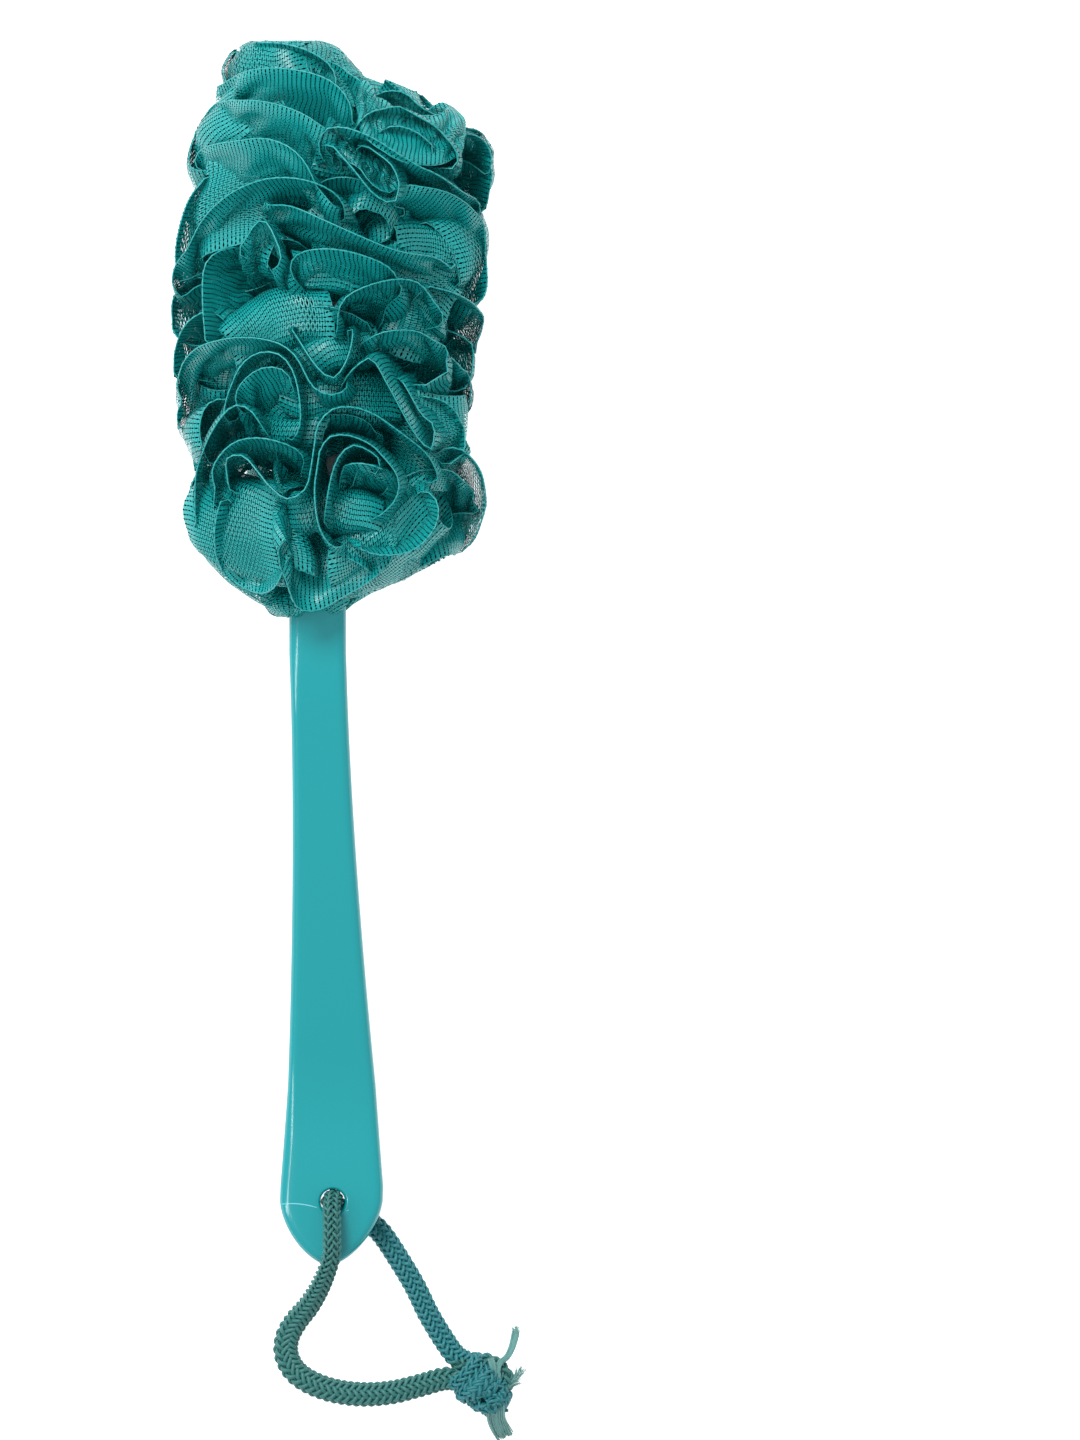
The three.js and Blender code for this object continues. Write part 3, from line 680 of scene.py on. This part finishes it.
def front_height(x, y):
    middle, half = puff_outline(y)
    return STEM_HEIGHT + puff_depth(half) * np.sqrt(np.clip(1 - ((x - middle) / (half + 2)) ** 2, 0.03, 1))


def inside_puff(points):
    middle, half = puff_outline(points[:, 1])
    away = ((points[:, 0] - middle) / half) ** 2 + ((points[:, 2] - STEM_HEIGHT) / puff_depth(half)) ** 2
    return (away < 1) & (points[:, 1] > 10) & (points[:, 1] < 182)


def front_petal(middle_y, lean, width, rim):
    """The grid of a petal whose nearer fold runs through the given points, and whose ends go to the tie."""
    near = np.array([(x, y, front_height(x, y) - depth) for x, y, depth in rim])
    line = smooth_line(near, 0.5)
    line = line[np.linspace(0, len(line) - 1, STATIONS - 2 * END_STATIONS).astype(int)]
    back = np.array([lean[0], lean[1], -math.sqrt(width**2 - lean[0] ** 2 - lean[1] ** 2)])
    across = np.linspace(1, 0, ACROSS)[None, :, None]
    body = line[:, None] + back * across
    out = unit(line.mean(0) * [1, 0, 1] - [0, 0, STEM_HEIGHT])
    root = np.array([0, middle_y + 0.12 * (line[:, 1].mean() - middle_y), STEM_HEIGHT]) + out * 7.5
    grid = np.zeros((STATIONS, ACROSS, 3))
    grid[END_STATIONS:-END_STATIONS] = body
    for step in range(END_STATIONS):
        t = (step + 0.5) / (END_STATIONS + 0.5)
        pinch = TIE_SHARE + (1 - TIE_SHARE) * ease(t)
        for station, edge in ((step, body[0]), (-1 - step, body[-1])):
            row = root + (edge - root) * t
            grid[station] = row.mean(0) + (row - row.mean(0)) * pinch / max(t, TIE_SHARE) * t
    return grid


def plain_petal(middle_y, turn, along, lean, stands, size):
    """A narrow starting grid for a petal that grows out from the tie: turn is its angle round the stem, along
    its place on the tie (-1 to 1), and lean how far it leans along the stem."""
    outward = np.array([math.cos(turn) * math.cos(lean), math.sin(lean), math.sin(turn) * math.cos(lean)])
    first = unit(np.cross(outward, [0, 1.0, 0]))
    second = np.cross(outward, first)
    spin = rng.uniform(0, 2 * np.pi)
    tangent = first * math.cos(spin) + second * math.sin(spin)
    way, wide = outward, tangent
    if stands:
        tilt = math.radians(rng.uniform(28, 50))
        way = outward * math.cos(tilt) + tangent * math.sin(tilt)
        wide = outward * math.sin(tilt) - tangent * math.cos(tilt)
    root = np.array([6 * math.cos(turn), middle_y + along * 8, STEM_HEIGHT + 5 * math.sin(turn)])
    reach = 20.0
    while reach < 70 and inside_puff((root + way * (reach + 1))[None])[0]:
        reach += 1
    place = np.linspace(0, 1, STATIONS)
    away = 1 - np.abs(2 * place - 1)
    away = np.where(away > 0.9, 0.9 + 0.6 * (away - 0.9), away)
    side = np.sin((place - 0.5) * np.pi)
    across = np.linspace(-1, 1, ACROSS)
    grid = (root + way * (reach * 0.9 * size * away)[:, None, None]
            + np.cross(way, wide) * (2.0 * side * (away + 0.2))[:, None, None]
            + wide * (0.04 * RIBBON_WIDTH * petal_flare()[:, None] * across[None])[..., None])
    return grid + rng.normal(0, 0.2, grid.shape)


def backing_petals(owner, middle_y):
    """Two broad petals that face forward deep in a flower, one each side of the stem."""
    drop = -26 if owner == "bottom" else -34
    for side in (-1, 1):
        lower = 12 if owner == "top" and side == 1 else 0
        rim = [(side * across, middle_y + rise - lower, depth)
               for across, rise, depth in ((42, 9, 34), (36, 16, 30), (25, 18, 28), (14, 17, 29), (8, 9, 33))]
        yield front_petal(middle_y, (0, drop), BACKING_WIDTH, rim)


def petal_flare():
    """The share of its width that a petal has at each station: gathered at the tie, open further out."""
    away = 1 - np.abs(2 * np.linspace(0, 1, STATIONS) - 1)
    return TIE_SHARE + (1 - TIE_SHARE) * np.sin(np.clip(away / 0.7, 0, 1) * np.pi / 2) ** 1.1


def start_petals():
    """All the petals before they grow: their grids, full lengths, widths, whether they are set out already
    (which leaves the length unused), and the net lengths that they are part of."""
    petals = []
    for owner, middle_y in FLOWER_MIDDLES.items():
        for name, lean, width, rim in FRONT_PETALS:
            if name == owner:
                petals.append((front_petal(middle_y, lean, width, rim), 0, width, True, owner))
        for grid in backing_petals(owner, middle_y):
            petals.append((grid, 0, BACKING_WIDTH, True, owner))
        for i in range(PLAIN_PETALS):
            turn = math.radians(i * GOLDEN_ANGLE + middle_y * 50 + rng.uniform(-12, 12))
            along = (i + 0.5) / PLAIN_PETALS * 2 - 1
            at_puff_end = (owner == "bottom" and along < 0) or (owner == "top" and along > 0)
            lean = math.radians(along * (70 if at_puff_end else 24) + rng.uniform(-6, 6))
            at_front = math.sin(turn) * math.cos(lean) > 0.5
            over_end = abs(lean) > 0.5 and math.sin(turn) > 0.15
            if over_end or (at_front and rng.random() < FRONT_SKIP):
                continue
            size = FRONT_SIZE if at_front else 1
            stands = rng.random() < STANDING_SHARE
            grid = plain_petal(middle_y, turn, along, lean, stands, size)
            length = LOOP_LENGTH * size * rng.uniform(0.85, 1.15)
            petals.append((grid, length, RIBBON_WIDTH * rng.uniform(0.85, 1.15), False, owner))
    grids, lengths, widths, set_out, owners = zip(*petals)
    return np.array(grids), np.array(lengths), np.array(widths), np.array(set_out), owners


def close_pairs(points, reach):
    """Pairs of points nearer than reach, found through a grid of cells."""
    cell = np.floor(points / reach).astype(np.int64)
    cell -= cell.min(0) - 1
    size = cell.max(0) + 2
    key = (cell[:, 0] * size[1] + cell[:, 1]) * size[2] + cell[:, 2]
    order = np.argsort(key, kind="stable")
    sorted_key, index = key[order], np.arange(len(points))
    firsts, seconds = [], []
    for dx, dy, dz in np.ndindex(2, 3, 3):
        dy, dz = dy - 1, dz - 1
        if (dx, dy, dz) < (0, 0, 0):
            continue
        wanted = sorted_key + (dx * size[1] + dy) * size[2] + dz
        low, high = np.searchsorted(sorted_key, wanted, "left"), np.searchsorted(sorted_key, wanted, "right")
        if (dx, dy, dz) == (0, 0, 0):
            low = np.maximum(low, index + 1)
        count = np.maximum(high - low, 0)
        firsts.append(order[np.repeat(index, count)])
        step = np.arange(count.sum()) - np.repeat(np.cumsum(count) - count, count)
        seconds.append(order[np.repeat(low, count) + step])
    first, second = np.concatenate(firsts), np.concatenate(seconds)
    near = ((points[first] - points[second]) ** 2).sum(1) < reach**2
    return first[near], second[near]


def pull(first, second, rest, strength, only_apart=False):
    """Moves two arrays of points towards their rest distance, in place. only_apart never pulls them closer."""
    away = first - second
    distance = np.sqrt((away * away).sum(-1)) + 1e-9
    move = (rest - distance) / distance * 0.5 * strength
    if only_apart:
        move = np.maximum(move, 0)
    away *= move[..., None]
    first += away
    second -= away


def hold_shape(grid, along_rest, across_rest, set_out):
    """One pass that pulls the netting back to its lengths, and straightens it a little."""
    for first in (0, 1):
        pull(grid[:, first:-1:2], grid[:, first + 1::2], along_rest[:, first::2], 0.9)
        pull(grid[:, :, first:-1:2], grid[:, :, first + 1::2], across_rest[:, :, first::2], 0.9)
    for reach, part, strength in STIFF_ALONG:
        for first in range(reach):
            a, b = grid[:, first:-reach:reach], grid[:, first + reach::reach]
            rest = along_rest[:, first::reach][:, :a.shape[1]] * reach * part
            pull(a, b[:, :a.shape[1]], np.where(set_out[:, None, None], 0, rest), strength, True)
    for reach, part, strength in STIFF_ACROSS:
        for first in range(min(reach, ACROSS - reach)):
            a, b = grid[:, :, first:-reach:reach], grid[:, :, first + reach::reach]
            rest = across_rest[:, :, first::reach][:, :, :a.shape[2]] * reach * part
            pull(a, b[:, :, :a.shape[2]], rest, strength, True)
    for diagonal in (1, -1):
        for first in (0, 1):
            a = grid[:, first:-1:2, ::diagonal][:, :, :-1]
            b = grid[:, first + 1::2, ::diagonal][:, :, 1:]
            rest = np.hypot(along_rest[:, first::2].mean(2, keepdims=True),
                            across_rest[:, first:-1:2].mean(2, keepdims=True))
            for lane in (0, 1):
                pull(a[:, :, lane::2], b[:, :, lane::2], rest, 0.12)


def push_apart(flat, pairs, gap):
    """Moves the points of each pair that are nearer than gap away from one another."""
    a, b = pairs
    away = flat[a] - flat[b]
    distance = np.sqrt((away * away).sum(1)) + 1e-6
    hit = distance < gap
    move = away[hit] * ((gap - distance[hit]) / distance[hit] * 0.5)[:, None]
    moved = np.concatenate([a[hit], b[hit]])
    amount = np.concatenate([move, -move])
    total = np.stack([np.bincount(moved, amount[:, axis], len(flat)) for axis in range(3)], 1)
    flat += total / np.maximum(np.bincount(moved, minlength=len(flat)), 1)[:, None] * 1.3


def keep_inside(grid, set_out):
    """Draws petals back into the puff's outline. The plain ones stay behind those set out at the front."""
    middle, half = puff_outline(grid[..., 1])
    deep = puff_depth(half)
    away = np.hypot((grid[..., 0] - middle) / half, (grid[..., 2] - STEM_HEIGHT) / deep) + 1e-9
    forward = ramp((grid[..., 2] - STEM_HEIGHT) / deep, 0.2, 0.6)
    at_top = ramp(grid[..., 1], 158, 172)
    limit = np.where(set_out[:, None, None], 1.0, 1 - 0.3 * forward - 0.12 * at_top)
    back_in = 1 - 0.5 * np.maximum(away - limit, 0) / away
    grid[..., 0] = middle + (grid[..., 0] - middle) * back_in
    grid[..., 2] = STEM_HEIGHT + (grid[..., 2] - STEM_HEIGHT) * back_in
    grid[..., 1] = np.clip(grid[..., 1], 11, 182.6)
    grid[..., 2] = np.maximum(grid[..., 2], 0.9)


def grow_petals():
    """Grows the plain petals round those set out at the front, until they fill the puff without running
    through one another: cloth held by its lengths, stiff to bending, kept apart and inside the outline."""
    grid, lengths, widths, set_out, owners = start_petals()
    start = grid.copy()
    placed = set_out[:, None, None]
    step_start = np.linalg.norm(np.diff(start, axis=1), axis=3)
    width_start = np.linalg.norm(np.diff(start, axis=2), axis=3)
    full_width = (widths[:, None] * petal_flare() / (ACROSS - 1))[:, :, None]
    step_full = np.where(placed, step_start, (lengths / (STATIONS - 1))[:, None, None])
    width_full = np.where(placed, width_start, full_width)
    ids = np.arange(grid[..., 0].size).reshape(grid.shape[:3])
    free = ids[:, 5:-5].ravel()
    petal_id, station_id, across_id = (a.ravel() for a in np.indices(ids.shape))
    for step in range(GROW_STEPS):
        growth = min(1.0, step / (GROW_STEPS * GROWING_SHARE))
        g = np.where(set_out, 1.0, growth)[:, None, None]
        along_rest = step_start * (1 - g) + step_full * g
        across_rest = width_start * (1 - g) + width_full * g
        for _ in range(3):
            hold_shape(grid, along_rest, across_rest, set_out)
            grid[:, :2], grid[:, -2:] = start[:, :2], start[:, -2:]
        flat = grid.reshape(-1, 3)
        if step % 2 == 0:
            a, b = close_pairs(flat[free], SHEET_GAP + 1)
            a, b = free[a], free[b]
            beside = (np.abs(station_id[a] - station_id[b]) <= 3) & (np.abs(across_id[a] - across_id[b]) <= 3)
            keep = ~((petal_id[a] == petal_id[b]) & beside)
            pairs = a[keep], b[keep]
        for _ in range(2):
            push_apart(flat, pairs, SHEET_GAP * (0.5 + 0.5 * growth))
        grid[set_out] += (start[set_out] - grid[set_out]) * 0.12
        keep_inside(grid, set_out)
    return grid, owners


# The net's pattern: columns of thread crossings round the tube, rows along it, and how thick its edges are.
TUBE_COLUMNS, ROW_STEP, RIM_RADIUS = 100, 1.42, 0.24
# How far the tube's two layers stand off each other: at the tie, and more where it swells further out.
TIE_BULGE, OPEN_BULGE, CRUMPLE = 0.22, 0.9, 0.22
# How open the holes are: the range over the petals, and how much more or less in patches.
HOLES_OPEN, PATCH_OPEN = (0.24, 0.42), 0.2


def net_points(grid, rows, v, layer):
    """The tube's points, the steps from row to row and from column to column, and how open its holes are.
    v is each column's place across the flat tube (-1 to 1); layer is 1 in front, -1 behind, 0 on a fold."""
    travelled = np.r_[0, np.cumsum(np.linalg.norm(np.diff(grid[:, ACROSS // 2], axis=0), axis=1))]
    along = np.interp(np.linspace(0, travelled[-1], rows), travelled, np.arange(STATIONS))
    weights_along = basis(STATIONS, along)
    place = (v + 1) / 2 * (ACROSS - 1)
    surface = np.einsum("ra,abx,cb->rcx", weights_along, grid, basis(ACROSS, place))
    by_row = np.gradient(surface, axis=0)
    step_v = (basis(ACROSS, np.clip(place + 0.5, 0, ACROSS - 1))
              - basis(ACROSS, np.clip(place - 0.5, 0, ACROSS - 1)))
    by_v = np.einsum("ra,abx,cb->rcx", weights_along, grid, step_v)
    span = np.where(np.abs(v) > 1 - 1 / ACROSS, 0.5, 1.0)
    by_column = by_v / span[None, :, None] * (2 / (TUBE_COLUMNS // 2)) * (ACROSS - 1) / 2
    normal = unit(np.cross(by_row, by_column))
    away = 1 - np.abs(2 * np.linspace(0, 1, rows) - 1)
    phase = rng.uniform(0, 6.3, 6)
    r, c = np.arange(rows)[:, None], v[None, :]
    inward = 1 - np.abs(c)
    swell = 0.6 + 0.4 * np.sin(r * 0.12 + phase[0] + c * 1.5)
    roundness = np.sqrt(np.clip(1 - c**2, 0, 1))
    bulge = (TIE_BULGE + OPEN_BULGE * swell * ramp(away, 0.2, 0.6)[:, None]) * roundness
    crumple = CRUMPLE * np.sin(r * 0.31 + 3.1 * c + phase[1]) * np.sin(5.3 * c + phase[2] + r * 0.05)
    ripple = 0.7 * np.sin(4.4 * c + 0.08 * r + phase[5]) + 0.3 * np.sin(9.7 * c - 0.21 * r + phase[2])
    ripple = ripple * inward * share(away, 0.1, 0.3)[:, None]
    points = (surface + normal * (layer[None] * bulge + crumple * inward)[..., None]
              + unit(by_row) * ripple[..., None])
    # The holes are nearly shut along the folds and at the tie, and stand open in patches.
    patch = np.sin(r * 0.075 + phase[3] + 1.2 * layer[None]) + np.sin(c * 3.0 + phase[4] + r * 0.03)
    opening = np.clip(rng.uniform(*HOLES_OPEN) + PATCH_OPEN * patch, 0.1, 0.66)
    opening = opening * share(inward, 0.14, 0.36) + 0.03
    return points, by_row, by_column, opening * share(away, 0.15, 0.4)[:, None]


def add_net_tube(parts, rims, grid):
    """One petal as real netting: a flattened tube of threads that leave a staggered pattern of lens-shaped
    holes. It returns the petal's length."""
    length = np.linalg.norm(np.diff(grid[:, ACROSS // 2], axis=0), axis=1).cumsum()[-1]
    rows = int(length / ROW_STEP / 2) * 2 + 1
    half = TUBE_COLUMNS // 2
    column = np.arange(TUBE_COLUMNS)
    v = np.where(column <= half, column / half * 2 - 1, 3 - column / half * 2)
    layer = np.where((column == 0) | (column == half), 0, np.where(column < half, 1.0, -1.0))
    points, by_row, by_column, opening = net_points(grid, rows, v, layer)
    # Each thread crossing is a small lozenge. The tube's back half runs the other way across.
    r_index, c_index = np.nonzero((np.arange(rows)[:, None] + column[None]) % 2 == 0)
    half_across = by_column * (1 - opening)[..., None]
    half_along = by_row * (0.08 + 0.14 * (1 - opening))[..., None]
    node = points[r_index, c_index]
    wide = half_across[r_index, c_index] * np.where(layer[c_index] < 0, -1.0, 1.0)[:, None]
    wide = np.where((layer[c_index] == 0)[:, None], 0, wide)
    tall = half_along[r_index, c_index]
    corners = np.stack([node - tall, node + wide, node + tall, node - wide], axis=1)
    back, right, front, left = 0, 1, 2, 3
    base = np.arange(len(node)) * 4
    faces = [np.stack([base + back, base + right, base + front, base + left], -1)]
    # Threads join each crossing to the two in the next row.
    numbers = np.full((rows, TUBE_COLUMNS), -1)
    numbers[r_index, c_index] = np.arange(len(node))
    for way, near_side, far_side in ((1, right, left), (-1, left, right)):
        r_next, c_next = r_index + 1, (c_index + way) % TUBE_COLUMNS
        has = r_next < rows
        other = numbers[r_next[has], c_next[has]] * 4
        here = base[has]
        quad = np.stack([here + front, here + near_side, other + back, other + far_side], -1)
        faces.append(quad if way == -1 else quad[:, ::-1])
    parts.add(corners, *faces)
    for edge in (0, half):
        line = points[::2, edge]
        tangent = unit(np.gradient(line, axis=0))
        across = unit(by_column[::2, edge] - tangent * (by_column[::2, edge] * tangent).sum(1)[:, None])
        add_tube(rims, line, across, np.cross(tangent, across), RIM_RADIUS, RIM_RADIUS, sides=5)
    return float(length)


# The tube's two layers lie flat at this width in metres, and its threads cover this share of it. A net length
# is shown in runs of a few petals.
TUBE_FLAT_WIDTH, NET_COVER, RUN_PETALS = 0.068, 0.55, 6
petals, petal_owners = grow_petals()
net_pieces = []
for owner in FLOWER_MIDDLES:
    mine = [i for i, name in enumerate(petal_owners) if name == owner]
    runs = [mine[i:i + RUN_PETALS] for i in range(0, len(mine), RUN_PETALS)]
    for number, run in enumerate(runs, 1):
        parts, rims = Parts(), Parts()
        run_length = sum(add_net_tube(parts, rims, petals[i]) for i in run)
        net = parts.build(f"net_{owner}_run_{number}", NET)
        rim = rims.build(f"net_{owner}_folds_{number}", NET_RIM)
        net_pieces.append((owner, net, rim, run_length))
for owner, net, rim, run_length in net_pieces:
    for piece in (net, rim):
        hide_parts("net_length_" + owner)
        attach(piece, "scrubber")

# ---------------------------------------------------------------- tie cords

TIE_SIDES, TIE_STRANDS, TIE_TWISTS, TIE_STRAND_RADIUS, TIE_OFF_STEM = 96, 3, 11, 0.6, 0.9


def make_tie(name, y):
    """Twisted twine round the stem."""
    around = np.linspace(0, 2 * np.pi, TIE_SIDES + 1)
    level = np.zeros(TIE_SIDES + 1)
    half_width, half_height = STEM_WIDTH / 2 + TIE_OFF_STEM, STEM_THICKNESS / 2 + TIE_OFF_STEM
    line = np.stack([half_width * np.cos(around), level, half_height * np.sin(around)], axis=1)
    line = line + [0, y, STEM_HEIGHT]
    outward = unit(np.stack([np.cos(around) / half_width, level, np.sin(around) / half_height], axis=1))
    along_stem = np.tile([0, 1.0, 0], (TIE_SIDES + 1, 1))
    parts = Parts()
    for strand in range(TIE_STRANDS):
        turn = around * TIE_TWISTS + strand * 2 * np.pi / TIE_STRANDS
        twist = outward * np.cos(turn)[:, None] + along_stem * np.sin(turn)[:, None]
        path = line + TIE_STRAND_RADIUS * twist
        add_tube(parts, path, outward, along_stem, TIE_STRAND_RADIUS, TIE_STRAND_RADIUS, sides=7)
    return parts.build(name, TWINE)


for owner, middle_y in FLOWER_MIDDLES.items():
    tie = make_tie("twine_" + owner, middle_y)
    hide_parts("tie_cord_" + owner)
    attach(tie, "scrubber")

# ---------------------------------------------------------------- floor, light and camera

# What the picture shows from top to bottom at FOCUS_HEIGHT above the floor, and where its middle is.
FIELD_HEIGHT, FIELD_MIDDLE, CAMERA_DISTANCE, FOCUS_HEIGHT, SENSOR_HEIGHT = 432, (62.55, -20.25), 14000, 28, 36
# In metres: the floor's half-size, how far it lies below the lowest point, and how far the camera sees.
FLOOR_HALF, FLOOR_GAP, VIEW_DEPTH = 3, 0.0005, 40
WHITE_FLOOR = plain_material("white_floor", (0.7, 0.7, 0.7, 1), 0.9,
                             Emission_Color=(1, 1, 1, 1), Emission_Strength=0.8)

floor_mesh = bpy.data.meshes.new("floor")
floor_corners = [(x * FLOOR_HALF, y * FLOOR_HALF, 0) for x, y in ((-1, -1), (1, -1), (1, 1), (-1, 1))]
floor_mesh.from_pydata(floor_corners, [], [(0, 1, 2, 3)])
floor_mesh.materials.append(WHITE_FLOOR)
floor = show("floor", floor_mesh)
floor.location.z = -FLOOR_GAP

world = bpy.data.worlds.new("room")
world.use_nodes = True
background = world.node_tree.nodes["Background"]
background.inputs["Color"].default_value = (0.96, 0.98, 1.0, 1)
background.inputs["Strength"].default_value = 0.72
bpy.context.scene.world = world


def add_area_light(name, place, target, size, power):
    lamp = bpy.data.lights.new(name, "AREA")
    lamp.shape, lamp.size, lamp.size_y, lamp.energy = "RECTANGLE", size[0], size[1], power
    thing = show(name, lamp)
    thing.location = place
    thing.rotation_euler = (Vector(target) - Vector(place)).to_track_quat("-Z", "Y").to_euler()


# A square light over the puff's end, and a long strip that draws the highlight along the handle's left edge.
add_area_light("key", (-0.5, 1.0, 1.35), (0, 0, 0.03), (0.6, 0.6), 24)
add_area_light("left_strip", (-0.85, -0.35, 1.35), (0, -0.05, 0.03), (0.12, 1.5), 8)

camera_data = bpy.data.cameras.new("camera")
camera_data.sensor_fit, camera_data.sensor_height = "VERTICAL", SENSOR_HEIGHT
camera_data.lens = SENSOR_HEIGHT * (CAMERA_DISTANCE - FOCUS_HEIGHT) / FIELD_HEIGHT
camera_data.clip_end = VIEW_DEPTH
camera = show("camera", camera_data)
camera.location = (FIELD_MIDDLE[0] * MM, FIELD_MIDDLE[1] * MM, CAMERA_DISTANCE * MM)
bpy.context.scene.camera = camera
bpy.context.scene.view_settings.view_transform = "Standard"
